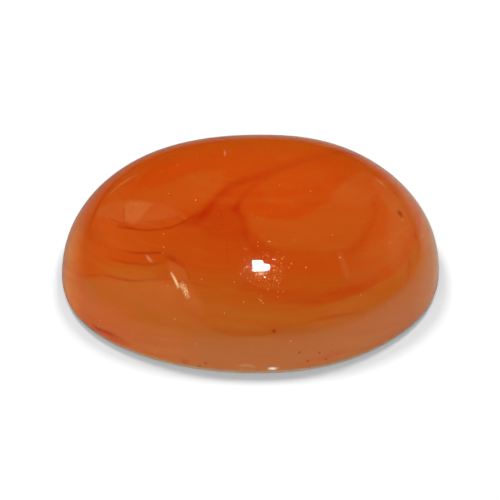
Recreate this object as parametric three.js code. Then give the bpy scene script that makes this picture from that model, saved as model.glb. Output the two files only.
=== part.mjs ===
// An oval cabochon of carnelian, one polished stone: a high dome over a thin girdle,
// with a bevelled flat base. Millimetres, +Z up, the long axis along X.
// The origin is at the middle of the flat base, and -Y is the front of the stone.
import * as THREE from "three";

const LENGTH = 16.0;
const WIDTH = 12.0;
const HEIGHT = 6.2;

// The dome rises from the girdle, which is the widest level of the stone. Below it a
// narrow bevel takes the sharp edge off the flat base.
const GIRDLE_HEIGHT = 0.4;
const BEVEL_HEIGHT = 0.24;
const BEVEL_TOP_INSET = 0.1;
const BASE_INSET = 0.26;

// Superellipse exponents: 2 is a true ellipse, and more is fuller in the corners.
const OUTLINE_EXPONENT = 2.18;
const DOME_EXPONENT = 1.92;

// The stone was ground by hand, so it isn't quite regular: the top of the dome leans
// to one side, and the outline waves in and out a little, lobe by lobe.
const DOME_LEAN = 0.3;
const WAVES = [
  { lobes: 3, depth: 0.08, turn: THREE.MathUtils.degToRad(112) },
  { lobes: 5, depth: 0.055, turn: THREE.MathUtils.degToRad(-42) },
];

// Each ring down the dome has this many more vertices than the one above it, which
// keeps the triangles alike in size from the top to the girdle.
const DOME_RINGS = 16;
const VERTICES_ADDED = 6;
const GIRDLE_VERTICES = DOME_RINGS * VERTICES_ADDED;

// The share of the full outline that is left when every side moves in by a distance.
const shareInside = (inset) => 1 - (2 * inset) / LENGTH;

// The point of the girdle's outline at an angle about the vertical axis.
function outlinePoint(angle) {
  const power = 2 / OUTLINE_EXPONENT;
  const along = Math.cos(angle);
  const across = Math.sin(angle);
  let wave = 1;
  for (const { lobes, depth, turn } of WAVES) {
    wave += ((2 * depth) / LENGTH) * Math.cos(lobes * angle - turn);
  }
  return new THREE.Vector2(
    (LENGTH / 2) * Math.sign(along) * Math.abs(along) ** power,
    (WIDTH / 2) * Math.sign(across) * Math.abs(across) ** power,
  ).multiplyScalar(wave);
}

// The levels of the stone from the top of the dome down to the middle of the base.
// share is a level's size against the girdle's.
function levels() {
  const power = 2 / DOME_EXPONENT;
  const dome = [];
  for (let ring = 0; ring <= DOME_RINGS; ring += 1) {
    const fall = (Math.PI / 2) * (ring / DOME_RINGS);
    dome.push({
      share: Math.sin(fall) ** power,
      height: GIRDLE_HEIGHT + (HEIGHT - GIRDLE_HEIGHT) * Math.max(Math.cos(fall), 0) ** power,
      vertices: Math.max(ring * VERTICES_ADDED, 1),
    });
  }
  return [
    ...dome,
    { share: shareInside(BEVEL_TOP_INSET), height: BEVEL_HEIGHT, vertices: GIRDLE_VERTICES },
    { share: shareInside(BASE_INSET), height: 0, vertices: GIRDLE_VERTICES },
    { share: 0, height: 0, vertices: 1 },
  ];
}

function levelPoints({ share, height, vertices }) {
  const lean = DOME_LEAN * (height / HEIGHT);
  return Array.from({ length: vertices }, (_, i) => {
    const edge = outlinePoint((2 * Math.PI * i) / vertices);
    return new THREE.Vector3(edge.x * share + lean, edge.y * share, height);
  });
}

// The triangles between one ring of vertices and the ring below it, facing out. They
// step round whichever ring is behind. A ring of one vertex is a fan's middle.
function ringTriangles(upper, lower) {
  const triangles = [];
  const upperSteps = upper.count > 1 ? upper.count : 0;
  const lowerSteps = lower.count > 1 ? lower.count : 0;
  const vertex = (ring, step) => ring.first + (step % ring.count);
  let u = 0;
  let l = 0;
  while (u < upperSteps || l < lowerSteps) {
    const upperIsBehind =
      l === lowerSteps || (u < upperSteps && (u + 1) / upperSteps <= (l + 1) / lowerSteps);
    const here = [vertex(upper, u), vertex(lower, l)];
    if (upperIsBehind) {
      u += 1;
      triangles.push(...here, vertex(upper, u));
    } else {
      l += 1;
      triangles.push(...here, vertex(lower, l));
    }
  }
  return triangles;
}

function cabochonGeometry() {
  const points = [];
  const rings = levels().map((level) => {
    const first = points.length;
    points.push(...levelPoints(level));
    return { first, count: level.vertices };
  });
  const triangles = rings
    .slice(1)
    .flatMap((lower, above) => ringTriangles(rings[above], lower));
  const stone = new THREE.BufferGeometry().setFromPoints(points);
  stone.setIndex(triangles);
  // The waves push the outline a little to one side, so the stone is centred again.
  stone.computeBoundingBox();
  const middle = stone.boundingBox.getCenter(new THREE.Vector3());
  stone.translate(-middle.x, -middle.y, 0);
  stone.computeVertexNormals();
  return stone;
}

const carnelian = new THREE.MeshStandardMaterial({
  color: 0xc4500f,
  roughness: 0.08,
  metalness: 0,
});

const cabochon = new THREE.Mesh(cabochonGeometry(), carnelian);
cabochon.name = "carnelian_cabochon";

const group = new THREE.Group();
group.add(cabochon);

export default group;
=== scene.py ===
import math
from typing import NamedTuple

import bpy
import numpy as np
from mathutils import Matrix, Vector, noise
from mathutils.bvhtree import BVHTree


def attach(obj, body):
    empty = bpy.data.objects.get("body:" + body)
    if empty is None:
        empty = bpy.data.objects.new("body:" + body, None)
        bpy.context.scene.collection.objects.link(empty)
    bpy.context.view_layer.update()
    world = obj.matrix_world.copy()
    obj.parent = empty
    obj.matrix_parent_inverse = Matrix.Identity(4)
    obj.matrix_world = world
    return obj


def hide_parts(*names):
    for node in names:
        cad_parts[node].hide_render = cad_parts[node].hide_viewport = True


# An oval carnelian cabochon on a white surface. The stone is worked out in millimetres,
# with +Z up, the long axis along X and -Y the front, and the scene is in metres. Colours
# are given as they look on screen, 0 to 255.

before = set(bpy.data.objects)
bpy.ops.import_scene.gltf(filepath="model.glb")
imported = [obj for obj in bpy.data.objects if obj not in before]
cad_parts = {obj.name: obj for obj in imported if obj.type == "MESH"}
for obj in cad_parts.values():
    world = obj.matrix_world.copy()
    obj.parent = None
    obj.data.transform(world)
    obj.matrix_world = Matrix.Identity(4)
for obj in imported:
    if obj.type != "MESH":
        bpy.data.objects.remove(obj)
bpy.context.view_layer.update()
MM = 0.001

# Driving dimensions, the same as in the part's source.
LENGTH = 16.0
WIDTH = 12.0
HEIGHT = 6.2
GIRDLE_HEIGHT = 0.4
BEVEL_HEIGHT = 0.24
BEVEL_TOP_INSET = 0.1
BASE_INSET = 0.26
OUTLINE_EXPONENT = 2.18
DOME_EXPONENT = 1.92
DOME_LEAN = 0.3
WAVES = [(3, 0.08, math.radians(112)), (5, 0.055, math.radians(-42))]

# The photograph's camera: how far it looks down, how far it stands from the middle of
# the base, and where that middle falls in the picture, in pixels.
PICTURE_SIZE = 500
SENSOR = 36.0
LENS = 298.0
CAMERA_ELEVATION = math.radians(42.4)
CAMERA_DISTANCE = 176.0
BASE_MIDDLE_PIXEL = (250.35, 278.6)
NEAREST_SEEN = 10.0
FARTHEST_SEEN = 10000.0


def srgb(red, green, blue):
    """A screen colour as the linear colour that Blender's sockets take."""
    def linear(value):
        share = value / 255
        return share / 12.92 if share <= 0.04045 else ((share + 0.055) / 1.055) ** 2.4
    return (linear(red), linear(green), linear(blue), 1.0)


# Camera

VIEW = Vector((0, math.cos(CAMERA_ELEVATION), -math.sin(CAMERA_ELEVATION)))
RIGHT = Vector((1, 0, 0))
UP = RIGHT.cross(VIEW)
FOCAL_PIXELS = LENS / SENSOR * PICTURE_SIZE


def camera_place():
    """Where the camera stands, in millimetres: the picture's middle looks past the
    middle of the base by as much as that falls off the picture's middle."""
    middle = PICTURE_SIZE / 2
    scale = CAMERA_DISTANCE / FOCAL_PIXELS
    across = (middle - BASE_MIDDLE_PIXEL[0]) * scale
    up = (BASE_MIDDLE_PIXEL[1] - middle) * scale
    return RIGHT * across + UP * up - VIEW * CAMERA_DISTANCE


def make_camera():
    data = bpy.data.cameras.new("camera")
    data.lens = LENS
    data.sensor_width = SENSOR
    data.clip_start = NEAREST_SEEN * MM
    data.clip_end = FARTHEST_SEEN * MM
    camera = bpy.data.objects.new("camera", data)
    camera.location = camera_place() * MM
    camera.rotation_mode = "QUATERNION"
    camera.rotation_quaternion = VIEW.to_track_quat("-Z", "Y")
    bpy.context.scene.collection.objects.link(camera)
    bpy.context.scene.camera = camera


def pixel_direction(pixel):
    """The direction in which the camera sees a pixel of the photograph."""
    across = pixel[0] - PICTURE_SIZE / 2
    up = PICTURE_SIZE / 2 - pixel[1]
    return (VIEW * FOCAL_PIXELS + RIGHT * across + UP * up).normalized()


# Shape

DOME_RINGS = 150
BASE_RINGS = 20
RING_STEP = 6
EDGE_ROUNDING_PASSES = 2
CORNER_CUT = 0.25
UNDERSIDE_TOP = BEVEL_HEIGHT / 4

# Hand polishing leaves the dome slightly uneven: how deep, and over what length.
UNEVEN_DEPTH = 0.012
UNEVEN_LENGTH = 3.2
FINE_UNEVEN_SHARE = 0.3
FINE_UNEVEN_LENGTH = 1.1


class Chip(NamedTuple):
    """A tiny shell-shaped chip at the base edge: the middle of the ball that it is
    scooped out with, and the ball's radius."""
    x: float
    y: float
    z: float
    radius: float


CHIPS = [
    Chip(1.15, -6.2, 0.5, 0.24),
    Chip(-0.16, -6.85, 0.2, 0.96),
    Chip(-2.9, -5.85, 0.0, 0.2),
    Chip(-2.2, -6.0, 0.02, 0.15),
    Chip(2.75, -5.95, -0.02, 0.22),
    Chip(5.0, -5.1, 0.0, 0.2),
    Chip(-5.65, -4.5, 0.05, 0.24),
    Chip(-6.9, -3.0, 0.0, 0.18),
    Chip(7.4, 2.5, 0.0, 0.24),
    Chip(3.1, 5.85, 0.02, 0.22),
    Chip(-1.4, 6.1, 0.0, 0.2),
    Chip(-6.33, 4.12, 0.0, 0.26),
]


def outline(angles):
    """Points of the girdle's outline at angles about the vertical axis, n x 2."""
    power = 2 / OUTLINE_EXPONENT
    along, across = np.cos(angles), np.sin(angles)
    wave = 1 + sum(
        2 * depth / LENGTH * np.cos(lobes * angles - turn) for lobes, depth, turn in WAVES
    )
    x = LENGTH / 2 * np.sign(along) * np.abs(along) ** power * wave
    y = WIDTH / 2 * np.sign(across) * np.abs(across) ** power * wave
    return np.stack([x, y], 1)


def rounded(points, passes):
    """An open line of points with its corners cut again and again into a curve."""
    points = np.array(points, float)
    for _ in range(passes):
        first, second = points[:-1], points[1:]
        keep = 1 - CORNER_CUT
        cut = np.stack([keep * first + CORNER_CUT * second, CORNER_CUT * first + keep * second], 1)
        points = np.concatenate([points[:1], cut.reshape(-1, 2), points[-1:]])
    return points


def levels():
    """(share of the girdle's outline, height, vertices) of each ring, top to bottom."""
    power = 2 / DOME_EXPONENT
    girdle_vertices = DOME_RINGS * RING_STEP
    rings = []
    for ring in range(DOME_RINGS):
        fall = math.pi / 2 * ring / DOME_RINGS
        height = GIRDLE_HEIGHT + (HEIGHT - GIRDLE_HEIGHT) * math.cos(fall) ** power
        rings.append((math.sin(fall) ** power, height, max(ring * RING_STEP, 1)))

    def inside(inset):
        return 1 - 2 * inset / LENGTH

    edge = rounded(
        [
            (rings[-1][0], rings[-1][1]),
            (1, GIRDLE_HEIGHT),
            (inside(BEVEL_TOP_INSET), BEVEL_HEIGHT),
            (inside(BASE_INSET), 0),
            (inside(2 * BASE_INSET), 0),
        ],
        EDGE_ROUNDING_PASSES,
    )
    rings += [(share, height, girdle_vertices) for share, height in edge[1:]]
    last_share = edge[-1][0]
    for ring in range(BASE_RINGS - 1, 0, -1):
        count = girdle_vertices * ring // BASE_RINGS
        rings.append((last_share * ring / BASE_RINGS, 0, count))
    return rings + [(0, 0, 1)]


def ring_points(share, height, count):
    edge = outline(2 * math.pi * np.arange(count) / count)
    lean = DOME_LEAN * height / HEIGHT
    return np.column_stack([edge[:, 0] * share + lean, edge[:, 1] * share,
                            np.full(count, height)])


def ring_triangles(upper, lower):
    """Triangles between two rings, each given as (first vertex, vertices)."""
    steps = [count if count > 1 else 0 for _, count in (upper, lower)]
    at = [0, 0]
    triangles = []
    while at[0] < steps[0] or at[1] < steps[1]:
        behind = at[1] == steps[1] or (
            at[0] < steps[0] and (at[0] + 1) * steps[1] <= (at[1] + 1) * steps[0]
        )
        here = [ring[0] + step % ring[1] for ring, step in zip((upper, lower), at)]
        ring, which = (upper, 0) if behind else (lower, 1)
        at[which] += 1
        triangles.append((*here, ring[0] + at[which] % ring[1]))
    return triangles


def smooth_shape():
    """The even stone's vertices, in millimetres, and its triangles."""
    points, triangles, previous = [], [], None
    first = 0
    for share, height, count in levels():
        points.append(ring_points(share, height, count))
        if previous:
            triangles += ring_triangles(previous, (first, count))
        previous = (first, count)
        first += count
    points = np.concatenate(points)
    middle = (points.min(0) + points.max(0)) / 2
    points[:, :2] -= middle[:2]
    return points, triangles


def vertex_normals(mesh):
    normals = np.empty(len(mesh.vertices) * 3)
    mesh.vertex_normals.foreach_get("vector", normals)
    return normals.reshape(-1, 3)


def unevenness(points):
    """How far each point of the dome is raised or sunk by the polishing."""
    def waves(length):
        return np.array([noise.noise(Vector(point) / length) for point in points])
    broad = waves(UNEVEN_LENGTH)
    fine = waves(FINE_UNEVEN_LENGTH)
    above_girdle = np.clip((points[:, 2] - GIRDLE_HEIGHT) / GIRDLE_HEIGHT, 0, 1)
    return UNEVEN_DEPTH * (broad + FINE_UNEVEN_SHARE * fine) * above_girdle


def chip_away(points):
    """Sinks the vertices inside each chip's ball onto it. Returns how chipped each is."""
    chipped = np.zeros(len(points))
    for chip in CHIPS:
        off = points - (chip.x, chip.y, chip.z)
        distance = np.linalg.norm(off, axis=1)
        inside = distance < chip.radius
        points[inside] += off[inside] * (chip.radius / distance[inside] - 1)[:, None]
        chipped[inside] = 1
    return chipped


def stone_shape():
    """The stone's mesh, with its vertices and their normals in millimetres, and how
    chipped each vertex is."""
    points, triangles = smooth_shape()
    mesh = bpy.data.meshes.new("carnelian")
    mesh.from_pydata((points * MM).tolist(), [], triangles)
    mesh.shade_smooth()
    points += vertex_normals(mesh) * unevenness(points)[:, None]
    chipped = chip_away(points)
    mesh.vertices.foreach_set("co", (points * MM).ravel())
    mesh.update()
    return mesh, points, vertex_normals(mesh), chipped


make_camera()
mesh, points, normals, chipped = stone_shape()
surface = BVHTree.FromPolygons([Vector(point) for point in points],
                               [tuple(face.vertices) for face in mesh.polygons])

# Markings

# Each marking follows a curve that lies on the stone. The ones that the photograph shows
# are given by the pixels that they pass through there, the others by x and y on the
# stone. Every vertex near the curve takes some of the marking's kind of colour.

# How closely a curve's points lie, in pixels or in millimetres, how far strokes and
# lines reach to the side, how the markings waver, and the distance from a line, in its
# half widths, where no line is near.
PIXEL_SPACING = 1.0
PLAN_SPACING = 0.04
CURVE_SPACING = 0.05
FAR_IN_WIDTHS = 2.2
LINE_REACH = 0.13
WAVER_DEPTH = 0.03
WAVER_LENGTH = 0.7
WAVER_SEED = 1
FAR_OFF = 99.0

# The cosine of the angle to the camera below which the stone counts as less and less seen.
SEEN_FACING = 0.3

# The kinds of colour that markings take, first soft ones and then thin lines.
KIND_COLOURS = {
    "amber": srgb(196, 94, 24),
    "yellow": srgb(197, 107, 30),
    "pale": srgb(206, 112, 52),
    "deep": srgb(203, 73, 8),
    "red": srgb(180, 38, 5),
}
# The crack colour also paints faint reflections in the upper rim, the grain colour a painted sparkle
# under the highlight, and the glint colour a painted glint.
LINE_COLOURS = {
    "vein": srgb(166, 38, 7),
    "crack_and_reflection": srgb(250, 216, 164),
    "grain_and_sparkle": srgb(246, 208, 152),
    "painted_glint": srgb(255, 248, 238),
}


class Stroke(NamedTuple):
    """A soft line. It fades out over left and right millimetres to its two sides, seen
    along it, and its strengths are spread evenly from its start to its end."""
    kind: str
    corners: list
    left: float
    right: float
    strengths: tuple


class Area(NamedTuple):
    """An area inside a closed curve, whose corners go round it anticlockwise as they
    are seen. It fades in over edge millimetres across the curve."""
    kind: str
    corners: list
    edge: float
    strength: float


class Line(NamedTuple):
    """A thin, sharp line."""
    kind: str
    corners: list
    half_width: float
    strengths: tuple


def curve(corners, spacing):
    """Points evenly spaced on a smooth curve through the corners."""
    corners = np.array(corners, float)
    before = 2 * corners[:1] - corners[1:2]
    after = 2 * corners[-1:] - corners[-2:-1]
    line = np.concatenate([before, corners, after])
    slopes = (line[2:] - line[:-2]) / 2
    found = [corners[:1]]
    for i in range(len(corners) - 1):
        steps = int(np.linalg.norm(corners[i + 1] - corners[i]) / spacing) + 1
        t = (np.arange(1, steps + 1) / steps)[:, None]
        start_share = 1 - 3 * t ** 2 + 2 * t ** 3
        found.append(
            corners[i] * start_share + corners[i + 1] * (1 - start_share)
            + slopes[i] * (t - 2 * t ** 2 + t ** 3) + slopes[i + 1] * (t ** 3 - t ** 2)
        )
    return np.concatenate(found)


def on_stone(rays):
    """The places where rays first meet the stone, and the normals there."""
    found = [surface.ray_cast(*ray) for ray in rays]
    met = [(place, normal) for place, normal, _, _ in found if place]
    return np.array([place for place, _ in met]), np.array([normal for _, normal in met])


def seen_place(pixel):
    """The place on the stone that the photograph shows at a pixel."""
    return surface.ray_cast(camera_place(), pixel_direction(pixel))[0]


def seen(pixels):
    """The curve on the stone that the photograph shows through these pixels."""
    eye = camera_place()
    return on_stone((eye, pixel_direction(pixel)) for pixel in curve(pixels, PIXEL_SPACING))


def overhead(plan):
    """The curve on the stone under these points of its plan."""
    down = Vector((0, 0, -1))
    return on_stone((Vector((x, y, 2 * HEIGHT)), down) for x, y in curve(plan, PLAN_SPACING))


def beside(places, facing, reach):
    """The vertices within reach of a curve: which they are, how far to the left of it
    and past its ends each is, and how far along it, from 0 to 1."""
    low, high = places.min(0) - reach, places.max(0) + reach
    which = np.flatnonzero(((wavered > low) & (wavered < high)).all(1))
    near = wavered[which]
    nearest = ((places ** 2).sum(1) - 2 * near @ places.T).argmin(1)
    forward = np.gradient(places, axis=0)
    forward /= np.linalg.norm(forward, axis=1)[:, None]
    leftward = np.cross(facing, forward)
    off = near - places[nearest]
    aside = (off * leftward[nearest]).sum(1)
    past = np.maximum(np.abs((off * forward[nearest]).sum(1)) - CURVE_SPACING, 0)
    return which, aside, past, nearest / (len(places) - 1)


def spread(strengths, along):
    return np.interp(along, np.linspace(0, 1, len(strengths)), strengths)


def lay(kind, which, strength):
    """Adds to a kind of colour at some vertices, without going over its full strength."""
    paint[kind][which] = 1 - (1 - paint[kind][which]) * (1 - strength)


def paint_stroke(stroke, places, facing):
    reach = FAR_IN_WIDTHS * max(stroke.left, stroke.right)
    which, aside, past, along = beside(places, facing, reach)
    width = np.where(aside > 0, stroke.left, stroke.right)
    fall = np.exp(-(aside ** 2 + past ** 2) / width ** 2)
    lay(stroke.kind, which, spread(stroke.strengths, along) * fall)


def paint_area(area, places, facing):
    which, inside, past, _ = beside(places, facing, area.edge)
    inside = np.copysign(np.hypot(inside, past), inside)
    share = np.clip(inside / area.edge + 0.5, 0, 1)
    lay(area.kind, which, area.strength * share ** 2 * (3 - 2 * share))


def paint_line(line, places, facing):
    """A sharp line is kept as the distance from it, in half widths, and a strength, so
    that it is finer than the vertices. Its strength ends nearer than its distance does."""
    which, aside, past, along = beside(places, facing, 2 * LINE_REACH)
    off = aside / line.half_width
    near = (np.abs(off) < np.abs(line_off[line.kind][which])) & (past == 0)
    which, aside, along, off = which[near], aside[near], along[near], off[near]
    line_off[line.kind][which] = off
    strength = spread(line.strengths, along) * (np.abs(aside) < LINE_REACH)
    line_strength[line.kind][which] = strength


# The dark red vein: a thin line at the left that thickens, then fades up to the right,
# a branch that turns down from it to a reddish patch, and faint streaks round them.
VEINS = [
    Stroke("red", [(187, 221), (197, 216), (207, 208), (215, 199.5), (222, 193), (231, 185), (244, 180)],
           left=0.16, right=0.3, strengths=(0.35, 0.55, 0.6, 0.5, 0.45, 0.4, 0.2)),
    Stroke("red", [(193, 219), (201, 214.5), (208, 209), (214, 203)],
           left=0.12, right=0.2, strengths=(0.1, 0.55, 0.6, 0.1)),
    Stroke("red", [(232, 186), (242, 182), (257, 178), (275, 171), (290, 166), (307, 160), (325, 155),
                   (340, 152)],
           left=0.3, right=0.18, strengths=(0.2, 0.45, 0.42, 0.36, 0.36, 0.3, 0.25, 0)),
    Stroke("red", [(196, 220), (206, 218), (218, 213), (230, 208)],
           left=0.2, right=0.7, strengths=(0.1, 0.2, 0.2, 0)),
    Stroke("red", [(212, 204), (230, 199), (250, 196), (268, 202)],
           left=0.35, right=0.4, strengths=(0, 0.14, 0.16, 0)),
    Stroke("red", [(233, 232), (238, 242), (244, 252)],
           left=0.3, right=0.3, strengths=(0, 0.16, 0.1)),
    Stroke("red", [(84, 222), (92, 232), (100, 238), (112, 240)],
           left=0.3, right=0.4, strengths=(0, 0.18, 0.16, 0)),
    Stroke("red", [(284, 170), (265, 180), (250, 189), (242, 200), (237, 207)],
           left=0.09, right=0.16, strengths=(0, 0.2, 0.25, 0.3, 0.45)),
    Stroke("red", [(226, 208), (233, 210), (239, 211)],
           left=0.25, right=0.25, strengths=(0.1, 0.3, 0.35, 0.1)),
    Stroke("red", [(240, 198), (238.5, 204), (237.5, 210), (238.5, 217)],
           left=0.1, right=0.12, strengths=(0.1, 0.35, 0.45, 0.2)),
    Stroke("red", [(238, 210), (242, 219), (245, 231), (249, 243), (257, 251), (267, 254)],
           left=0.1, right=0.14, strengths=(0.45, 0.25, 0.25, 0.3, 0.3, 0.1)),
    Stroke("red", [(248, 231), (258, 241), (268, 248), (284, 253)],
           left=0.12, right=0.5, strengths=(0.1, 0.25, 0.3, 0.1)),
]
THIN_VEINS = [
    Line("vein", [(118, 226.5), (123, 227.5), (133, 228.5), (147, 230), (163, 229), (175, 226),
                  (188, 220), (200, 212)],
         half_width=0.1, strengths=(0.3, 0.7, 0.45, 0.45, 0.5, 0.55, 0.4, 0)),
    Line("vein", [(122, 220), (140, 222), (158, 221), (176, 217), (190, 213)],
         half_width=0.09, strengths=(0, 0.15, 0.2, 0.15, 0)),
    Line("vein", [(112, 248), (122, 250), (131, 252.2), (138, 253.2), (148, 253), (160, 252.5),
                  (167, 254)],
         half_width=0.1, strengths=(0, 0.15, 0.4, 0.6, 0.5, 0.55, 0)),
    Line("vein", [(105, 257), (116, 260), (128, 262.7), (145, 264.3), (156, 263.7), (168, 260)],
         half_width=0.1, strengths=(0, 0.25, 0.4, 0.35, 0.35, 0)),
    Line("vein", [(78, 275), (93, 275.5), (108, 276), (120, 279), (136, 280.5), (155, 279.5),
                  (167, 278.5), (190, 283), (210, 287), (225, 289)],
         half_width=0.1, strengths=(0, 0.25, 0.3, 0.45, 0.3, 0.12, 0.1, 0.15, 0.15, 0)),
    Line("vein", [(169, 256), (173, 260), (179, 264), (185, 269), (188.5, 276), (190, 283)],
         half_width=0.13, strengths=(0.2, 0.35, 0.25, 0.2, 0.2, 0)),
    Line("vein", [(124, 203), (123.6, 212), (124.5, 222)],
         half_width=0.09, strengths=(0, 0.3, 0.15)),
    Line("vein", [(103, 215.5), (113, 220), (122, 223.5), (134, 224.5)],
         half_width=0.09, strengths=(0, 0.25, 0.3, 0)),
    Line("vein", [(226, 236), (227.5, 250), (228, 264)],
         half_width=0.09, strengths=(0, 0.2, 0)),
]

# The streaks and soft bands that cross the stone below the vein.
LOWER_BANDS = [
    Stroke("deep", [(165, 254), (180, 257), (210, 259), (250, 261), (300, 262), (346, 264)],
           left=0.25, right=0.5, strengths=(0, 0.25, 0.3, 0.5, 0.4, 0.1)),
    Stroke("red", [(163, 255), (172, 258), (181, 263)],
           left=0.16, right=0.16, strengths=(0.1, 0.45, 0.2)),
    Stroke("red", [(340, 254), (355, 249), (365, 238), (373, 222), (377, 206), (378, 196)],
           left=0.3, right=0.14, strengths=(0.05, 0.1, 0.14, 0.2, 0.18, 0)),
    Stroke("red", [(228, 280), (240, 282), (257, 287), (275, 292.5), (305, 294), (340, 292.5),
                   (367, 285), (385, 274)],
           left=0.14, right=0.25, strengths=(0.05, 0.15, 0.2, 0.15, 0.1, 0.2, 0.15, 0)),
    Stroke("deep", [(228, 284), (250, 290), (275, 294), (300, 295), (320, 294)],
           left=0.35, right=0.25, strengths=(0, 0.3, 0.35, 0.35, 0)),
    Stroke("deep", [(250, 300), (268, 303), (285, 304), (300, 304)],
           left=0.3, right=0.06, strengths=(0, 0.2, 0.2, 0)),
    Stroke("red", [(275, 303), (300, 303), (318, 302.5), (335, 299)],
           left=0.16, right=0.05, strengths=(0, 0.18, 0.18, 0)),
    Stroke("yellow", [(240, 316), (262, 316), (282, 313), (300, 312)],
           left=0.3, right=0.3, strengths=(0, 0.3, 0.3, 0)),
    Stroke("red", [(298, 324.5), (316, 320.5), (334, 316.5), (352, 313.5), (370, 309)],
           left=0.1, right=0.06, strengths=(0.1, 0.2, 0.35, 0.3, 0)),
    Stroke("red", [(170, 300), (186, 309), (203, 320)],
           left=0.1, right=0.2, strengths=(0, 0.12, 0.2)),
    Stroke("amber", [(204, 318), (207, 326), (219, 332.5), (240, 336), (262, 335.5), (282, 330),
                     (300, 324)],
           left=0.28, right=0.03, strengths=(0.2, 0.6, 0.85, 0.85, 0.8, 0.5, 0)),
    Stroke("yellow", [(92, 268), (110, 270), (130, 272), (150, 272), (164, 269)],
           left=0.2, right=0.24, strengths=(0, 0.6, 0.7, 0.6, 0.2)),
    Stroke("deep", [(105, 254), (125, 257.5), (145, 259), (160, 258)],
           left=0.12, right=0.14, strengths=(0.1, 0.6, 0.6, 0.2)),
]

# Areas that are deeper or paler than the stone round them.
AREAS = [
    Area("red", [(244, 214), (232, 206), (216, 207), (204, 214), (194, 221), (199, 231), (214, 239),
                 (236, 240), (249, 236), (247, 223)],
         edge=0.45, strength=0.24),
    Area("deep", [(196, 161), (170, 163), (150, 170), (136, 184), (142, 188), (158, 184), (178, 176),
                  (200, 166)],
         edge=0.3, strength=0.8),
    Area("amber", [(224, 171), (204, 170), (181, 178), (160, 187), (142, 192), (146, 198), (160, 202),
                   (180, 210), (196, 207), (210, 197), (220, 187)],
         edge=0.4, strength=0.45),
    Area("pale", [(181, 214), (168, 206), (152, 201), (135, 199.5), (118, 201), (104, 206), (96, 214),
                  (110, 220), (128, 224), (150, 223), (172, 219)],
         edge=0.2, strength=0.3),
    Area("pale", [(152, 204), (138, 201), (125, 204), (124.5, 213), (125.5, 221), (137, 222.5),
                  (144, 213)],
         edge=0.12, strength=0.6),
    Area("pale", [(176, 261), (168, 262), (169, 270), (176, 279), (186, 284), (188, 276), (184, 267)],
         edge=0.12, strength=0.4),
    Area("deep", [(330, 159), (300, 165), (270, 177), (252, 190), (244, 205), (256, 214), (276, 217.5),
                  (300, 216), (325, 201), (343, 180), (345, 166)],
         edge=0.5, strength=0.3),
    Area("amber", [(345, 181), (326, 202), (300, 217), (275, 219), (250, 215), (250, 224), (262, 240),
                   (280, 248), (330, 251), (352, 246), (364, 232), (371, 210), (364, 190)],
         edge=0.25, strength=0.5),
    Area("pale", [(380, 178), (362, 172), (343, 180), (330, 198), (345, 206), (372, 202)],
         edge=0.3, strength=0.14),
    Area("pale", [(404, 196), (392, 205), (388, 235), (392, 268), (404, 284), (416, 262), (420, 232),
                  (412, 208)],
         edge=0.6, strength=0.4),
    Area("yellow", [(176, 290), (160, 283), (140, 280), (115, 281), (88, 280), (92, 300), (116, 304),
                    (150, 306), (172, 300)],
         edge=0.4, strength=0.8),
    Area("pale", [(396, 232), (376, 240), (356, 256), (350, 276), (364, 290), (384, 280), (396, 262)],
         edge=0.5, strength=0.15),
    Area("pale", [(80, 281), (84, 305), (104, 330), (140, 348), (180, 350), (199, 334), (178, 317),
                  (156, 299), (137, 285), (108, 280)],
         edge=0.3, strength=0.1),
    Area("pale", [(190, 290), (170, 279), (140, 276), (100, 277), (80, 282), (82, 298), (92, 312),
                  (120, 316), (150, 312), (180, 312), (200, 304)],
         edge=0.5, strength=0.4),
    Area("pale", [(384, 300), (362, 296), (345, 300), (330, 312), (345, 326), (372, 318)],
         edge=0.4, strength=0.25),
    Area("pale", [(414, 210), (404, 190), (388, 178), (374, 180), (380, 196), (392, 212), (404, 218)],
         edge=0.4, strength=0.35),
    Area("pale", [(352, 316), (338, 317), (320, 321), (312, 328), (326, 330), (346, 325)],
         edge=0.25, strength=0.35),
    Area("pale", [(206, 316), (190, 313), (174, 315), (180, 324), (194, 331), (210, 330)],
         edge=0.3, strength=0.35),
    Area("pale", [(190, 284), (168, 283), (150, 285), (158, 296), (172, 308), (192, 318), (206, 312),
                  (200, 296)],
         edge=0.3, strength=0.3),
]

# Pale healed cracks, one of them a bright feather with a row of grains beside it, painted
# reflections of faint lights in the upper rim and a painted glint near its top, a painted
# sparkle of grains under the highlight, and at the front edge a small painted glint and
# the upper edge of a chip.
PALE_LINES = [
    Line("crack_and_reflection", [(170.7, 272.4), (172.6, 275.8), (175.4, 280.7), (177.6, 285), (178.8, 287.6)],
         half_width=0.09, strengths=(0.3, 0.75, 0.95, 1, 0.4)),
    Line("grain_and_sparkle", [(181, 282.5), (183.4, 286.5), (185.6, 290.4), (187.2, 294), (188.8, 298.5)],
         half_width=0.2, strengths=(0.4, 0.9, 1, 0.9, 0.2)),
    Line("crack_and_reflection", [(145.5, 254), (149, 258.5), (153.5, 262.5)],
         half_width=0.1, strengths=(0, 0.3, 0)),
    Line("crack_and_reflection", [(106, 200), (113, 191), (120.6, 184.5), (129, 179), (139, 174)],
         half_width=0.12, strengths=(0, 0.08, 0.12, 0.1, 0)),
    Line("crack_and_reflection", [(306, 143), (320, 144.5), (336, 148.5)],
         half_width=0.12, strengths=(0, 0.1, 0)),
    Line("crack_and_reflection", [(374, 177), (381, 182.5), (388, 189)],
         half_width=0.12, strengths=(0, 0.22, 0)),
    Line("crack_and_reflection", [(224.5, 149), (225, 153), (225.5, 157)],
         half_width=0.08, strengths=(0, 0.3, 0)),
    Line("grain_and_sparkle", [(255.5, 274.2), (260, 273.6), (265, 272.6), (270, 271.6)],
         half_width=0.11, strengths=(0.6, 1, 0.9, 0.3)),
    Line("painted_glint", [(268, 368.8), (272.5, 368.7), (277.5, 368.9)],
         half_width=0.13, strengths=(0.2, 1, 1, 0)),
    Line("crack_and_reflection", [(237, 366.6), (242, 365.6), (249, 365.5), (256, 366.6)],
         half_width=0.09, strengths=(0, 0.2, 0.2, 0)),
]

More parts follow.
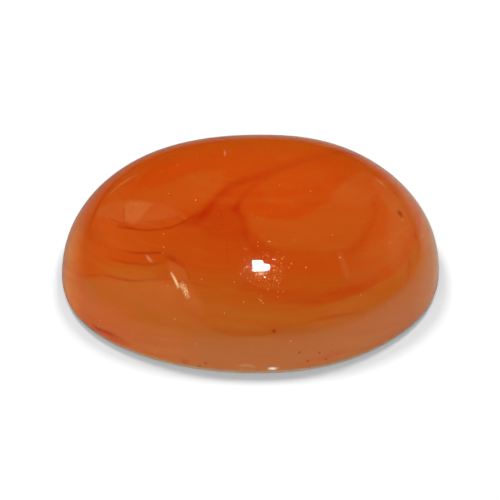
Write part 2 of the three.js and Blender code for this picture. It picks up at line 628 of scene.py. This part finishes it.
# Round the edges: a red line inside the left rim, short streaks and arcs of red and of
# deeper stone near the base and the right rim, and a few pale streaks farther in.
EDGE_STROKES = [
    Stroke("red", [(88, 234), (91, 222), (95, 212), (101, 200), (109, 189), (120, 178), (133, 168),
                   (146, 161)],
           left=0.1, right=0.12, strengths=(0, 0.4, 0.5, 0.4, 0.3, 0.25, 0.2, 0)),
    Stroke("red", [(94, 325.5), (99, 329.2), (105, 331.2), (112, 334.2), (119, 337.2), (127, 341)],
           left=0.08, right=0.12, strengths=(0.5, 0.9, 0.95, 0.8, 0.4, 0)),
    Stroke("deep", [(104, 334), (112, 338), (122, 342), (134, 346)],
           left=0.1, right=0.1, strengths=(0, 0.6, 0.5, 0)),
    Stroke("pale", [(148, 298), (158, 308), (168, 317), (182, 327)],
           left=0.3, right=0.3, strengths=(0, 0.3, 0.45, 0)),
    Stroke("pale", [(341, 256), (343.5, 264), (347, 275)],
           left=0.12, right=0.13, strengths=(0.4, 0.6, 0.5)),
    Stroke("pale", [(130, 343), (137, 346), (146, 350)],
           left=0.1, right=0.12, strengths=(0, 0.4, 0)),
    Stroke("red", [(179, 360.5), (186, 362.2), (192, 363.5)],
           left=0.1, right=0.1, strengths=(0, 0.6, 0)),
    Stroke("yellow", [(175, 358.5), (183, 359.5), (191, 361)],
           left=0.08, right=0.08, strengths=(0, 0.8, 0)),
    Stroke("deep", [(303, 361.5), (314, 360), (327, 357), (341, 352.5), (352, 349)],
           left=0.14, right=0.1, strengths=(0, 0.4, 0.5, 0.5, 0)),
    Stroke("red", [(388, 186), (395, 193), (402, 202)],
           left=0.1, right=0.1, strengths=(0, 0.4, 0)),
    Stroke("red", [(400, 202), (408, 214), (413, 227), (418, 243), (420, 260)],
           left=0.1, right=0.1, strengths=(0.05, 0.15, 0.12, 0.2, 0)),
    Stroke("red", [(413.6, 232), (415, 236), (415.6, 240)],
           left=0.09, right=0.09, strengths=(0, 0.45, 0)),
    Stroke("red", [(409, 250), (409.5, 264), (408, 278), (401, 292)],
           left=0.08, right=0.1, strengths=(0, 0.3, 0.25, 0)),
]

# On the sides that the photograph doesn't show, the vein and its bands go on.
UNSEEN_STROKES = [
    Stroke("red", [(3.2, 1.8), (4.1, 2.5), (5.0, 2.9), (5.8, 3.0), (6.6, 2.7)],
           left=0.3, right=0.2, strengths=(0, 0.5, 0.6, 0.4, 0)),
    Stroke("red", [(-6.6, 1.6), (-5.6, 2.6), (-4.2, 3.3), (-2.6, 3.5), (-1.0, 4.0), (0.6, 4.5),
                   (2.4, 4.5)],
           left=0.22, right=0.3, strengths=(0, 0.5, 0.7, 0.5, 0.75, 0.5, 0)),
    Stroke("red", [(-2.4, 3.5), (-1.2, 3.2), (0.2, 3.3), (1.6, 3.0), (2.8, 2.2)],
           left=0.12, right=0.2, strengths=(0.4, 0.5, 0.3, 0.35, 0)),
    Stroke("deep", [(-4.6, 4.4), (-2.4, 5.0), (0.0, 5.3), (2.4, 5.1), (4.8, 4.3)],
           left=0.3, right=0.4, strengths=(0, 0.6, 0.7, 0.6, 0)),
    Stroke("yellow", [(-3.4, 4.4), (-1.8, 4.6), (-0.4, 4.9)],
           left=0.2, right=0.2, strengths=(0, 0.5, 0)),
    Stroke("pale", [(3.6, 3.6), (4.6, 3.7), (5.6, 3.4)],
           left=0.3, right=0.3, strengths=(0, 0.4, 0)),
]
UNSEEN_LINES = [
    Line("vein", [(-7.0, 1.0), (-6.2, 2.2), (-5.0, 3.3), (-3.6, 3.9), (-2.0, 4.3), (0.0, 4.9)],
         half_width=0.05, strengths=(0, 0.6, 0.4, 0.6, 0.5, 0)),
    Line("crack_and_reflection", [(1.4, 3.4), (1.7, 3.75), (1.85, 4.2)],
         half_width=0.07, strengths=(0, 0.5, 0)),
]

# Tiny specks, each a pixel of the photograph and a radius. The pale ones round the
# highlight are painted sparkles.
PALE_SPECKS_AND_SPARKLES = [
    (195.7, 200, 0.06), (168.7, 193.7, 0.04), (163.7, 234, 0.045), (163.7, 247, 0.045),
    (306, 267.5, 0.06), (234.5, 282, 0.04), (261, 300.5, 0.06), (259, 299, 0.04), (263, 303, 0.045),
    (243.7, 302, 0.045), (224.5, 313, 0.04), (360.8, 295, 0.04), (175, 319, 0.05), (290.7, 341, 0.05),
    (270, 241.7, 0.04), (332.5, 235, 0.04), (310.5, 191, 0.04), (390, 242.5, 0.04), (340, 257.5, 0.06),
    (402.5, 220, 0.06), (422.5, 236, 0.06), (185.8, 290.4, 0.09), (183.2, 285.6, 0.06),
    (187.4, 294, 0.05), (268.8, 241.4, 0.045), (257.9, 245.9, 0.035), (246.2, 249.2, 0.035),
    (282.2, 258.6, 0.045), (274.2, 266.2, 0.06), (274, 270, 0.055), (277, 280.4, 0.06),
    (274.7, 277, 0.045), (259, 280.4, 0.04), (244.4, 268.4, 0.04), (240.8, 273.8, 0.04),
    (268, 289.7, 0.035),
]
DARK_SPECKS = [
    (274, 331, 0.14), (97, 327.9, 0.14), (99.2, 329.5, 0.12), (400.2, 213.6, 0.25), (299.4, 352.6, 0.1),
    (319.4, 352.6, 0.09), (307.8, 361.2, 0.11), (326, 359.2, 0.1), (199.5, 366.3, 0.12),
    (205.6, 363.2, 0.1), (331, 351, 0.05),
]


def waver(points):
    """The points moved a little this way and that, so that no marking runs too evenly."""
    noise.seed_set(WAVER_SEED)
    moved = [WAVER_DEPTH * noise.noise_vector(Vector(point) / WAVER_LENGTH) for point in points]
    return points + np.array(moved)


def paint_markings():
    for stroke in VEINS + LOWER_BANDS + EDGE_STROKES:
        paint_stroke(stroke, *seen(stroke.corners))
    for area in AREAS:
        paint_area(area, *seen([*area.corners, area.corners[0]]))
    for line in THIN_VEINS + PALE_LINES:
        paint_line(line, *seen(line.corners))
    for stroke in UNSEEN_STROKES:
        paint_stroke(stroke, *overhead(stroke.corners))
    for line in UNSEEN_LINES:
        paint_line(line, *overhead(line.corners))


def turned_away():
    """How far each vertex is turned from the camera: 0 where the photograph shows it
    well, and 1 where it doesn't show it at all."""
    toward = np.array(camera_place()) - points
    facing = (normals * toward).sum(1) / np.linalg.norm(toward, axis=1)
    return np.clip((SEEN_FACING - facing) / SEEN_FACING, 0, 1)


def add_attribute(name, values):
    mesh.attributes.new(name, "FLOAT", "POINT").data.foreach_set("value", values)


wavered = waver(points)
paint = {kind: np.zeros(len(points)) for kind in KIND_COLOURS}
line_off = {kind: np.full(len(points), FAR_OFF) for kind in LINE_COLOURS}
line_strength = {kind: np.zeros(len(points)) for kind in LINE_COLOURS}
paint_markings()
for kind in KIND_COLOURS:
    add_attribute(kind, paint[kind])
for kind in LINE_COLOURS:
    add_attribute(kind + "_off", line_off[kind])
    add_attribute(kind + "_strength", line_strength[kind])
add_attribute("chipped", chipped)
add_attribute("unseen", turned_away())
add_attribute("underside", (points[:, 2] < UNDERSIDE_TOP).astype(float))

# Material

# The stone grew in thin, nearly level layers, which wander up and down a little. Its
# body colour goes by the height across them, in millimetres. The paler, yellower colour
# low down is partly the stone's own and partly painted light, for light that passes
# through the stone near its base.
LAYER_NORMAL = (0.055, 0.321, 0.946)
WANDER_SCALE = 0.35
WANDER_DEPTH = 0.9
BODY_AND_LOW_GLOW_COLOURS = [
    (0.0, srgb(203, 112, 39)),
    (0.9, srgb(195, 107, 33)),
    (1.6, srgb(194, 97, 24)),
    (2.4, srgb(194, 88, 18)),
    (3.4, srgb(194, 80, 14)),
    (5.0, srgb(196, 75, 10)),
    (6.0, srgb(197, 77, 10)),
]

# It is brighter towards the two ends and the back, which is painted light: a glow of
# light through the thin ends and rims, strongest in the last three rows at the rims. For
# each: the axis, where along it the change starts and where it is full, its strength and
# the colour. It is less so where unseen.
PAINTED_EDGE_GLOW_COLOURS = [
    ("X", 3.5, 7.2, 0.7, srgb(215, 100, 27)),
    ("X", -3.5, -7.0, 0.7, srgb(217, 94, 24)),
    ("Y", 1.0, 4.2, 0.8, srgb(220, 106, 18)),
    ("X", 6.4, 7.6, 0.85, srgb(224, 118, 22)),
    ("X", -6.8, -7.7, 0.85, srgb(230, 130, 34)),
    ("Y", 3.3, 4.3, 0.7, srgb(228, 142, 34)),
]
UNSEEN_SIDE_LOSS = 0.75

# A noise changes as fast as its scale says, per millimetre, and lies round its middle.
# Two numbers that break a marking up are the values of the noise where it is gone and
# where it is full.
NOISE_MIDDLE = 0.5
FINE_DETAIL = 3.0

# Fine layers, fainter at the back: how many there are, about, to a millimetre, and their
# strength, and the kinds of colour that they take, with the values of their noise.
FINE_LAYERS = [(2.6, 0.2), (6.0, 0.2)]
LAYER_TINTS = [("deep", 0.5, 0.65), ("yellow", 0.46, 0.32)]
LAYER_STRETCH = (0.25, 0.25, 0.0)
LAYERS_FAINT_Y = 2.5
LAYERS_CLEAR_Y = -1.0
LAYERS_LEAST = 0.3
CLOUD_SCALE = 0.9
CLOUD_BREAK = (0.45, 0.75)
CLOUD_SHARE = 0.25

# The level bands: the colour, the heights of the band's bottom and top, the x where it
# begins, and its strength. They bend up and down towards the back. The lowest, dull band
# is partly a painted reflection of the white floor on the stone's lower part.
LEVEL_BANDS = [
    (KIND_COLOURS["deep"], 3.1, 3.5, 1.0, 0.45),
    (KIND_COLOURS["yellow"], 2.42, 3.1, 0.5, 0.55),
    # Partly a painted reflection of the white floor.
    (srgb(187, 107, 44), -1.0, 2.42, -3.6, 0.6),
]
BAND_EDGE = 0.06
BAND_FADE = 2.0
BEND_SCALE = 0.45
BEND_DEPTH = 1.6
UNBENT_Y = -3.5
BENT_Y = 3.0
RIPPLE_SCALE = 1.3
RIPPLE_DEPTH = 0.12

# The wisps are stretched along the layers, and broken off here and there.
WISP_STRETCH = (0.16, 0.16, 0.8)
WISP_SCALE = 1.1
WISP_HALF_WIDTH = 0.035
WISP_BREAK_SCALE = 0.5
WISP_BREAK = (0.4, 0.65)
WISP_SHARE = 0.4

# How the painted markings are broken up: their strength swings from the least upward.
MARK_SCALE = 2.2
MARK_BREAK = (0.2, 0.65)
MARK_LEAST = 0.7
MARK_SWING = 0.35
GRAIN_AND_SPARKLE_SCALE = 11.0
GRAIN_AND_SPARKLE_BREAK = (0.36, 0.6)

PALE_SPECK_AND_SPARKLE_COLOUR = srgb(240, 165, 105)
DARK_SPECK_COLOUR = srgb(158, 56, 8)
BEVEL_AND_EDGE_LIGHT_COLOUR = srgb(248, 200, 160)
CHIP_COLOUR = srgb(212, 128, 62)
UNDERSIDE_COLOUR = srgb(205, 104, 44)
CHIP_SHARE = 0.6
UNDERSIDE_SHARE = 0.7

# The ground edge is paler from its top down to where the colour is full: partly the
# ground edge's own colour and partly painted light, for the bevel catching light from
# the white floor.
GROUND_AND_LIT_EDGE_TOP = 1.1 * GIRDLE_HEIGHT
GROUND_AND_LIT_EDGE_FULL = 0.25 * GIRDLE_HEIGHT
GROUND_AND_LIT_EDGE_SHARE = 0.8

# Polishing pits, at most one to a cell, and grit. Both lie thickest round the highlight,
# where their pale colour is painted sparkle, but the small, clean spot that mirrors it has
# no pits.
PIT_CELL = 0.115
PIT_RADIUS = 0.042
PIT_LEAST_RADIUS = 0.018
PIT_FLOOR = 0.8
PIT_RAGGED = 0.1
PIT_RAGGED_SCALE = 9.0
PIT_SHARE = 0.02
PIT_DEPTH = 0.002
PIT_AND_SPARKLE_COLOUR = srgb(236, 145, 76)
CLEAN_PIXEL = (261.5, 266)
CLEAN_RADIUS = 0.4
CLEAN_FADE = 0.1
SPARKLE_PIXEL = (266, 270)
SPARKLE_RADIUS = 1.8
SPARKLE_PIT_SHARE = 0.9
SPARKLE_GRIT_SIZE = 0.07
SPARKLE_GRIT_BREAK = (0.52, 0.66)
SPARKLE_GRIT_RADIUS = 1.0
SPARKLE_GRIT_FULL_RADIUS = 0.3
SPARKLE_GRIT_SHARE = 0.6

POLISHED_ROUGHNESS = 0.02
ROUGHNESS_SWING = 0.03
ROUGHNESS_SCALE = 1.5
UNPOLISHED_ROUGHNESS = 0.3
REFRACTIVE_INDEX = 1.54

# How far light scatters in the stone, and the shares of that for red, green and blue.
SCATTER_REACH = 1.3
SCATTER_SHARES = (1.0, 0.35, 0.15)


class Nodes:
    """Adds nodes to a material. An input is a plain value or another node's output."""

    def __init__(self, material):
        self.tree = material.node_tree

    def put(self, socket, value):
        if isinstance(value, bpy.types.NodeSocket):
            self.tree.links.new(value, socket)
        else:
            socket.default_value = value

    def add(self, kind, inputs, output=0, **settings):
        node = self.tree.nodes.new("ShaderNode" + kind)
        for name, value in settings.items():
            setattr(node, name, value)
        for name, value in inputs.items():
            self.put(node.inputs[name], value)
        return node.outputs[output]

    def attribute(self, name):
        return self.add("Attribute", {}, "Fac", attribute_name=name)

    def math(self, operation, first, second=0.0):
        return self.add("Math", {0: first, 1: second}, operation=operation)

    def times(self, first, second):
        return self.math("MULTIPLY", first, second)

    def multiply_add(self, value, factor, plus):
        return self.add("Math", {0: value, 1: factor, 2: plus}, operation="MULTIPLY_ADD")

    def axis(self, place, name):
        return self.add("SeparateXYZ", {0: place}, name)

    def distance(self, place, middle):
        return self.add("VectorMath", {0: place, 1: middle}, "Value", operation="DISTANCE")

    def mix(self, share, first, second):
        return self.add("Mix", {0: share, 6: first, 7: second}, 2, data_type="RGBA")

    def smooth(self, value, start, end):
        """0 at start and 1 at end, with a soft start and end."""
        limits = {"Value": value, "From Min": start, "From Max": end}
        return self.add("MapRange", limits, interpolation_type="SMOOTHSTEP")

    def noise(self, place, scale, detail=2.0):
        return self.add("TexNoise", {"Vector": place, "Scale": scale, "Detail": detail}, "Fac")

    def ramp(self, share, stops):
        output = self.add("ValToRGB", {0: share}, "Color")
        elements = output.node.color_ramp.elements
        elements.remove(elements[0])
        elements[0].position, elements[0].color = stops[-1]
        for position, colour in stops[:-1]:
            elements.new(position).color = colour
        return output


def layer_height(nodes, place):
    """The height across the stone's layers."""
    level = nodes.add("VectorMath", {0: place, 1: LAYER_NORMAL}, "Value", operation="DOT_PRODUCT")
    wander = nodes.noise(place, WANDER_SCALE)
    wander = nodes.multiply_add(wander, WANDER_DEPTH, -WANDER_DEPTH * NOISE_MIDDLE)
    return nodes.math("ADD", level, wander)


# Partly painted light: the paler colour low down, and the glow towards the ends and rims.
def body_and_glow_colour(nodes, place, height):
    stops = [(level / HEIGHT, colour) for level, colour in BODY_AND_LOW_GLOW_COLOURS]
    colour = nodes.ramp(nodes.math("DIVIDE", height, HEIGHT), stops)
    shown = nodes.multiply_add(nodes.attribute("unseen"), -UNSEEN_SIDE_LOSS, 1.0)
    for axis, start, full, most, glow_colour in PAINTED_EDGE_GLOW_COLOURS:
        share = nodes.times(nodes.smooth(nodes.axis(place, axis), start, full), most)
        colour = nodes.mix(nodes.times(share, shown), colour, glow_colour)
    return colour


def layered_colour(nodes, place, height, colour):
    """Fine, faint layers, clearest in front, and broad clouds of amber stone."""
    clear = nodes.smooth(nodes.axis(place, "Y"), LAYERS_FAINT_Y, LAYERS_CLEAR_Y)
    clear = nodes.multiply_add(clear, 1 - LAYERS_LEAST, LAYERS_LEAST)
    flat = nodes.add("VectorMath", {0: place, 1: LAYER_STRETCH}, operation="MULTIPLY")
    for fineness, most in FINE_LAYERS:
        level = nodes.add("CombineXYZ", {"Z": nodes.times(height, fineness)})
        stretched = nodes.add("VectorMath", {0: flat, 1: level}, operation="ADD")
        layers = nodes.noise(stretched, 1.0, FINE_DETAIL)
        for kind, start, full in LAYER_TINTS:
            share = nodes.times(nodes.smooth(layers, start, full), most)
            colour = nodes.mix(nodes.times(share, clear), colour, KIND_COLOURS[kind])
    clouds = nodes.smooth(nodes.noise(place, CLOUD_SCALE, FINE_DETAIL), *CLOUD_BREAK)
    return nodes.mix(nodes.times(clouds, CLOUD_SHARE), colour, KIND_COLOURS["amber"])


def level_bands(nodes, place, colour):
    """The lowest layers, which show as level bands round the right half of the stone. The
    lowest band is partly a painted reflection of the white floor.
    """
    bend = nodes.math("SUBTRACT", nodes.noise(place, BEND_SCALE), NOISE_MIDDLE)
    bend = nodes.times(bend, nodes.smooth(nodes.axis(place, "Y"), UNBENT_Y, BENT_Y))
    ripple = nodes.times(nodes.noise(place, RIPPLE_SCALE), RIPPLE_DEPTH)
    level = nodes.math("ADD", nodes.axis(place, "Z"), nodes.times(bend, BEND_DEPTH))
    level = nodes.math("ADD", level, ripple)
    for band_colour, bottom, top, leftmost, most in LEVEL_BANDS:
        above = nodes.smooth(level, bottom - BAND_EDGE, bottom + BAND_EDGE)
        below = nodes.smooth(level, top + BAND_EDGE, top - BAND_EDGE)
        reach = nodes.smooth(nodes.axis(place, "X"), leftmost, leftmost + BAND_FADE)
        share = nodes.times(nodes.times(above, below), reach)
        colour = nodes.mix(nodes.times(share, most), colour, band_colour)
    return colour


def unseen_wisps(nodes, place, colour):
    """Thin red wisps between the layers, on the sides that the photograph doesn't show."""
    stretched = nodes.add("VectorMath", {0: place, 1: WISP_STRETCH}, operation="MULTIPLY")
    off = nodes.math("SUBTRACT", nodes.noise(stretched, WISP_SCALE), NOISE_MIDDLE)
    wisp = nodes.smooth(nodes.math("ABSOLUTE", off), WISP_HALF_WIDTH, 0.0)
    wisp = nodes.times(wisp, nodes.attribute("unseen"))
    wisp = nodes.times(wisp, nodes.smooth(nodes.noise(place, WISP_BREAK_SCALE), *WISP_BREAK))
    return nodes.mix(nodes.times(wisp, WISP_SHARE), colour, KIND_COLOURS["red"])


def marked_colour(nodes, place, colour):
    """The painted markings over the body colour, broken up a little."""
    breaks = nodes.smooth(nodes.noise(place, MARK_SCALE, FINE_DETAIL), *MARK_BREAK)
    uneven = nodes.multiply_add(breaks, MARK_SWING, MARK_LEAST)
    for kind, kind_colour in KIND_COLOURS.items():
        colour = nodes.mix(nodes.times(nodes.attribute(kind), uneven), colour, kind_colour)
    for kind, line_colour in LINE_COLOURS.items():
        off = nodes.math("ABSOLUTE", nodes.attribute(kind + "_off"))
        share = nodes.times(nodes.smooth(off, 1.0, 0.0), nodes.attribute(kind + "_strength"))
        if kind == "grain_and_sparkle":
            grains_and_sparkle = nodes.smooth(nodes.noise(place, GRAIN_AND_SPARKLE_SCALE), *GRAIN_AND_SPARKLE_BREAK)
            share = nodes.times(share, grains_and_sparkle)
        colour = nodes.mix(share, colour, line_colour)
    return colour


def speck_share(nodes, place, specks):
    share = 0.0
    for x, y, radius in specks:
        off = nodes.distance(place, seen_place((x, y)))
        share = nodes.math("MAXIMUM", nodes.smooth(off, radius, 0.0), share)
    return share


def worn_and_lit_edge_colour(nodes, place, colour):
    """The ground edge, the chips and the underside over the stone's own colour. The ground
    edge is partly painted light.
    """
    ground_and_lit_edge = nodes.smooth(nodes.axis(place, "Z"), GROUND_AND_LIT_EDGE_TOP, GROUND_AND_LIT_EDGE_FULL)
    colour = nodes.mix(nodes.times(ground_and_lit_edge, GROUND_AND_LIT_EDGE_SHARE), colour, BEVEL_AND_EDGE_LIGHT_COLOUR)
    chips = nodes.times(nodes.attribute("chipped"), CHIP_SHARE)
    colour = nodes.mix(chips, colour, CHIP_COLOUR)
    underside = nodes.times(nodes.attribute("underside"), UNDERSIDE_SHARE)
    return nodes.mix(underside, colour, UNDERSIDE_COLOUR)


def polished_round(nodes, place):
    """0 in the small, clean spot that mirrors the highlight, and 1 outside it."""
    off = nodes.distance(place, seen_place(CLEAN_PIXEL))
    return nodes.smooth(off, CLEAN_RADIUS, CLEAN_RADIUS + CLEAN_FADE)


def pits(nodes, place, sparkle_off):
    """How deep in a tiny polishing pit each place is, from 0 to 1, and a random number
    of that pit's. They are thickest round the highlight, where their pale colour is painted
    sparkle."""
    ragged = nodes.add("TexNoise", {"Vector": place, "Scale": PIT_RAGGED_SCALE}, "Color")
    ragged = nodes.add("VectorMath", {0: ragged, "Scale": PIT_RAGGED}, operation="SCALE")
    ragged = nodes.add("VectorMath", {0: place, 1: ragged}, operation="ADD")
    cells = nodes.add("TexVoronoi", {"Vector": ragged, "Scale": 1 / PIT_CELL}, "Distance")
    random = nodes.add("SeparateColor", {0: cells.node.outputs["Color"]}).node.outputs
    radius = nodes.multiply_add(random["Green"], PIT_RADIUS / PIT_CELL, PIT_LEAST_RADIUS / PIT_CELL)
    crater = nodes.math("SUBTRACT", 1.0, nodes.math("DIVIDE", cells, radius))
    near_sparkle = nodes.smooth(sparkle_off, SPARKLE_RADIUS, 0.0)
    share = nodes.multiply_add(near_sparkle, SPARKLE_PIT_SHARE, PIT_SHARE)
    share = nodes.times(share, polished_round(nodes, place))
    pitted = nodes.math("LESS_THAN", random["Red"], share)
    return nodes.times(nodes.smooth(crater, 0.0, PIT_FLOOR), pitted), random["Blue"]


# Painted sparkle: pale grit round the highlight.
def painted_sparkle_share(nodes, place, sparkle_off):
    sparkle_grit = nodes.smooth(nodes.noise(place, 1 / SPARKLE_GRIT_SIZE), *SPARKLE_GRIT_BREAK)
    sparkle_grit = nodes.times(sparkle_grit, nodes.smooth(sparkle_off, SPARKLE_GRIT_RADIUS, SPARKLE_GRIT_FULL_RADIUS))
    return nodes.times(sparkle_grit, SPARKLE_GRIT_SHARE)


def roughness(nodes, place):
    """Smooth where the stone is polished, and rougher in the chips and underneath."""
    swing = nodes.noise(place, ROUGHNESS_SCALE)
    rough = nodes.multiply_add(swing, ROUGHNESS_SWING, POLISHED_ROUGHNESS)
    for mask in ("chipped", "underside"):
        more = nodes.times(nodes.attribute(mask), UNPOLISHED_ROUGHNESS)
        rough = nodes.math("ADD", rough, more)
    return rough


def stone_colour(nodes, place):
    height = layer_height(nodes, place)
    colour = body_and_glow_colour(nodes, place, height)
    colour = layered_colour(nodes, place, height, colour)
    colour = level_bands(nodes, place, colour)
    colour = unseen_wisps(nodes, place, colour)
    colour = marked_colour(nodes, place, colour)
    # The pale specks round the highlight are painted sparkles.
    colour = nodes.mix(speck_share(nodes, place, PALE_SPECKS_AND_SPARKLES), colour, PALE_SPECK_AND_SPARKLE_COLOUR)
    colour = nodes.mix(speck_share(nodes, place, DARK_SPECKS), colour, DARK_SPECK_COLOUR)
    return worn_and_lit_edge_colour(nodes, place, colour)


def carnelian_material():
    material = bpy.data.materials.new("carnelian")
    material.use_nodes = True
    nodes = Nodes(material)
    metres = nodes.add("TexCoord", {}, "Object")
    place = nodes.add("VectorMath", {0: metres, "Scale": 1 / MM}, operation="SCALE")
    sparkle_off = nodes.distance(place, seen_place(SPARKLE_PIXEL))
    pit, pit_random = pits(nodes, place, sparkle_off)
    colour = stone_colour(nodes, place)
    # Pale grit and pale pit floors round the highlight are painted sparkle.
    colour = nodes.mix(painted_sparkle_share(nodes, place, sparkle_off), colour, PIT_AND_SPARKLE_COLOUR)
    colour = nodes.mix(nodes.times(pit, pit_random), colour, PIT_AND_SPARKLE_COLOUR)
    surface_height = nodes.math("SUBTRACT", 1.0, pit)
    bumps = {"Distance": PIT_DEPTH * MM, "Height": surface_height}
    look = {
        "Base Color": colour,
        "Roughness": roughness(nodes, place),
        "Normal": nodes.add("Bump", bumps, "Normal"),
        "IOR": REFRACTIVE_INDEX,
        "Subsurface Weight": 1.0,
        "Subsurface Radius": SCATTER_SHARES,
        "Subsurface Scale": SCATTER_REACH * MM,
    }
    shader = material.node_tree.nodes["Principled BSDF"]
    for name, value in look.items():
        nodes.put(shader.inputs[name], value)
    return material


stone = bpy.data.objects.new("carnelian", mesh)
bpy.context.scene.collection.objects.link(stone)
mesh.materials.append(carnelian_material())
# The photograph's floor has no orange glow from the stone.
stone.visible_diffuse = False
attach(stone, "root")
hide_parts("carnelian_cabochon")

# Floor and light

FLOOR_SIDE = 4000.0
FLOOR_COLOUR = (0.92, 0.92, 0.92, 1.0)

# The stone mirrors only the lit part of the white surface round it, a sheet whose colour
# is painted light: brightest a little in front of the stone and to its right, and fading
# out with distance.
BOARD_HALF = 60.0
BOARD_HEIGHT = 0.01
BOARD_BRIGHTEST = (7.0, -4.0)
BOARD_FADE = 20.5
BOARD_COLOUR = (0.56, 0.56, 0.48, 1.0)

# Large soft lamps, which the stone doesn't mirror: the azimuth and elevation that each
# comes from and its angular radius, in degrees, and its share of the light on the floor.
LAMP_DISTANCE = 300.0
WORLD_SHARE = 0.15
SOFTBOXES = [
    ("above", 90, 80, 42, 0.07),
    ("front", -95, 42, 25, 0.207),
    ("rear_right", 41, 66, 8, 0.33),
    ("rear_left", 139, 66, 8, 0.34),
]

# The highlight is two small lamps, each standing where the dome mirrors it to the camera
# at a pixel. Each has a name, the pixel, the lamp's shape, its size, and how far it
# stands from the stone.
KEYS = [
    ("key", (259.4, 266.4), "RECTANGLE", (16.2, 42.5), 300.0),
    ("small_key", (265.6, 268.0), "ELLIPSE", (22.5, 28.5), 270.0),
]
KEY_RADIANCE = 42.0


def plain_material(name, colour):
    material = bpy.data.materials.new(name)
    material.use_nodes = True
    shader = material.node_tree.nodes["Principled BSDF"]
    shader.inputs["Base Color"].default_value = colour
    shader.inputs["Roughness"].default_value = 1.0
    shader.inputs["Specular IOR Level"].default_value = 0.0
    return material


def make_sheet(name, half, height, material):
    """A square sheet lying at a height."""
    side = half * MM
    corners = [(-side, -side), (side, -side), (side, side), (-side, side)]
    sheet_mesh = bpy.data.meshes.new(name)
    sheet_mesh.from_pydata([(x, y, height * MM) for x, y in corners], [], [(0, 1, 2, 3)])
    sheet_mesh.materials.append(material)
    sheet = bpy.data.objects.new(name, sheet_mesh)
    bpy.context.scene.collection.objects.link(sheet)
    return sheet


def board_material():
    """Painted light: white that falls off as exp(-(distance / fade) ^ 2) from its brightest place."""
    material = plain_material("board", BOARD_COLOUR)
    nodes = Nodes(material)
    place = nodes.add("TexCoord", {}, "Object")
    brightest = (BOARD_BRIGHTEST[0] * MM, BOARD_BRIGHTEST[1] * MM, 0)
    share = nodes.math("DIVIDE", nodes.distance(place, brightest), BOARD_FADE * MM)
    fade = nodes.math("EXPONENT", nodes.times(nodes.math("POWER", share, 2.0), -1.0))
    shader = material.node_tree.nodes["Principled BSDF"]
    nodes.put(shader.inputs["Base Color"], nodes.mix(fade, (0, 0, 0, 1), BOARD_COLOUR))
    return material


def make_floor():
    floor = make_sheet("floor", FLOOR_SIDE / 2, 0, plain_material("floor", FLOOR_COLOUR))
    floor.visible_glossy = False
    board = make_sheet("board", BOARD_HALF, BOARD_HEIGHT, board_material())
    board.visible_camera = False
    board.visible_diffuse = False
    board.visible_shadow = False
    board.visible_transmission = False


def make_lamp(name, place, aim, size, radiance, shape="ELLIPSE"):
    """A glowing plate at a place, aimed at another."""
    data = bpy.data.lights.new(name, "AREA")
    data.shape = shape
    data.size = size[0] * MM
    data.size_y = size[1] * MM
    fill = math.pi / 4 if shape == "ELLIPSE" else 1
    data.energy = radiance * math.pi * fill * data.size * data.size_y
    lamp = bpy.data.objects.new(name, data)
    lamp.location = Vector(place) * MM
    lamp.rotation_mode = "QUATERNION"
    lamp.rotation_quaternion = (Vector(aim) - Vector(place)).to_track_quat("-Z", "Y")
    lamp.visible_camera = False
    bpy.context.scene.collection.objects.link(lamp)
    return lamp


def make_softbox(name, azimuth, elevation, radius, share):
    turn, rise = math.radians(azimuth), math.radians(elevation)
    toward = Vector((math.cos(turn) * math.cos(rise), math.sin(turn) * math.cos(rise),
                     math.sin(rise)))
    half = math.tan(math.radians(radius))
    side = 2 * half * LAMP_DISTANCE
    radiance = share / (half ** 2 * math.sin(rise))
    lamp = make_lamp(name, toward * LAMP_DISTANCE, (0, 0, 0), (side, side), radiance)
    lamp.visible_glossy = False
    lamp.data.cycles.use_multiple_importance_sampling = False


def make_key(name, pixel, shape, size, distance):
    """A small lamp that the stone mirrors to the camera at a pixel of the photograph."""
    direction = pixel_direction(pixel)
    place, normal, _, _ = surface.ray_cast(camera_place(), direction)
    back = direction - 2 * direction.dot(normal) * normal
    stand = place + back * distance
    make_lamp(name, stand, place, size, KEY_RADIANCE, shape)


def make_world():
    """Even white light from all round, which the stone doesn't mirror."""
    world = bpy.data.worlds.new("studio")
    bpy.context.scene.world = world
    world.use_nodes = True
    background = world.node_tree.nodes["Background"]
    background.inputs["Color"].default_value = (1, 1, 1, 1)
    background.inputs["Strength"].default_value = WORLD_SHARE
    world.cycles_visibility.glossy = False


make_floor()
make_world()
for softbox in SOFTBOXES:
    make_softbox(*softbox)
for key in KEYS:
    make_key(*key)
bpy.context.scene.view_settings.view_transform = "Standard"
bpy.context.scene.view_settings.look = "None"
